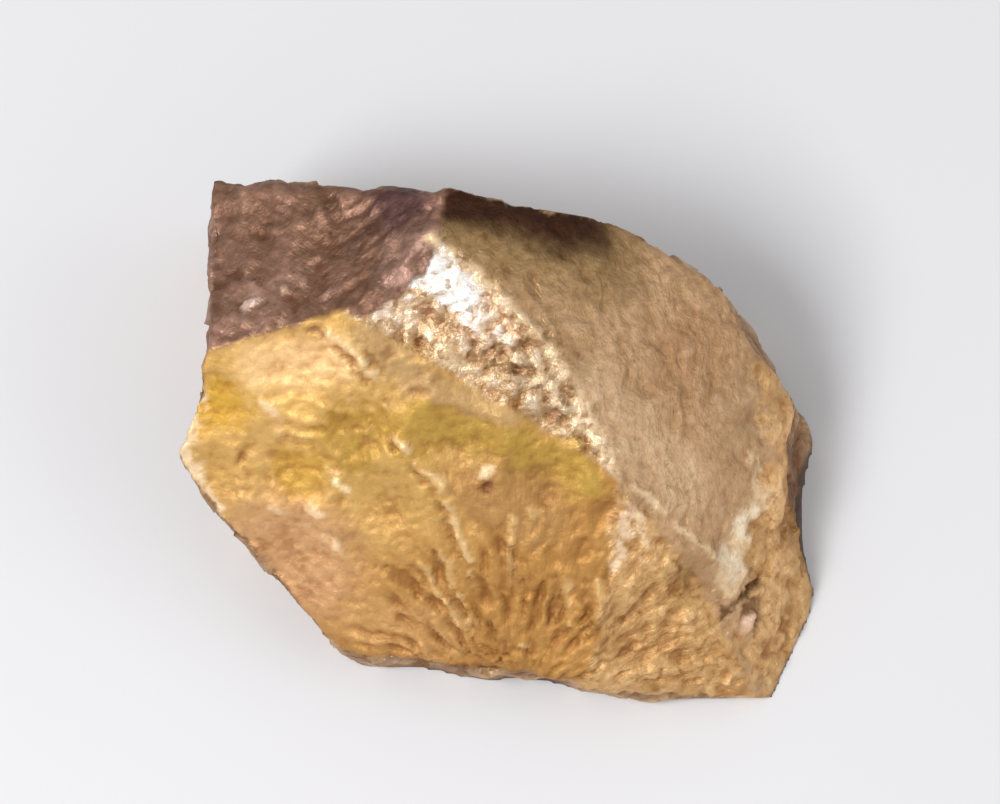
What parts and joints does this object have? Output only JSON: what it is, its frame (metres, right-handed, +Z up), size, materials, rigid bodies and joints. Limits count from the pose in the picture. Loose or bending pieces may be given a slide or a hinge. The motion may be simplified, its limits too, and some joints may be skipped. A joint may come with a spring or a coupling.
{
  "type": "copper yttrium alloy ingot",
  "caption": "Lump of copper and yttrium alloy broken from a cast ingot, with a flat mould face below and flat, swollen and chipped break faces around it.",
  "frame": {"origin": "on the flat mould face, under the middle of the lump's bounding box", "axes": "+X along the lump, from its high end to its low corner; +Y across it, away from the golden break faces; +Z up, from the mould face to the crest"},
  "size_m": [0.0604, 0.049, 0.0351],
  "materials": {
    "fractured_alloy": "satin broken metal, golden and tan with a dusky tarnished face"
  },
  "bodies": {
    "root": {"alloy_lump": "fractured_alloy"}
  },
  "joints": []
}
